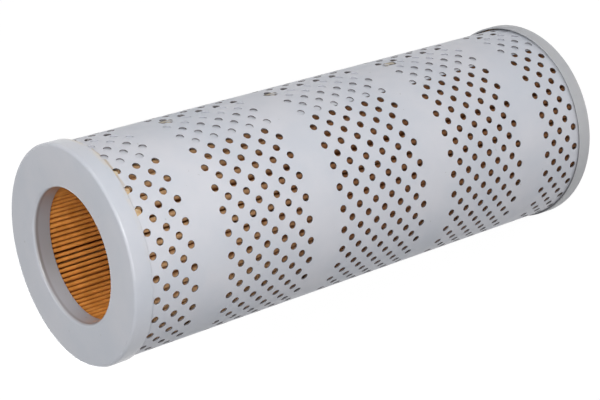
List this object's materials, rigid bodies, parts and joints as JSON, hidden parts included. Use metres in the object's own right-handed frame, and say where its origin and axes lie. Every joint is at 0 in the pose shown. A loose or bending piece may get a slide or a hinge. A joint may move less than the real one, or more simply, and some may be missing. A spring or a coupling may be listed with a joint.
{
  "type": "hydraulic filter element",
  "caption": "Cylindrical hydraulic oil filter cartridge: pleated paper in a perforated steel tube between two open pressed end caps.",
  "frame": {"origin": "centre of the rear cap's flat face, on which the element stands", "axes": "+Z along the element's axis from the rear cap to the front cap; the overlap seam of the tube faces between +X and -Y"},
  "size_m": [0.113, 0.113, 0.31],
  "materials": {
    "outer_tube": "satin light grey coat on perforated sheet steel",
    "pleated_paper": "amber resin-impregnated filter paper",
    "front_end_cap": "satin light grey coat on pressed sheet steel",
    "rear_end_cap": "satin grey coat on pressed sheet steel",
    "front_adhesive": "set tan epoxy",
    "rear_adhesive": "set tan epoxy"
  },
  "bodies": {
    "root": {"outer_tube": "outer_tube", "pleated_paper": "pleated_paper", "front_end_cap": "front_end_cap", "rear_end_cap": "rear_end_cap", "front_adhesive": "front_adhesive", "rear_adhesive": "rear_adhesive"}
  },
  "joints": []
}
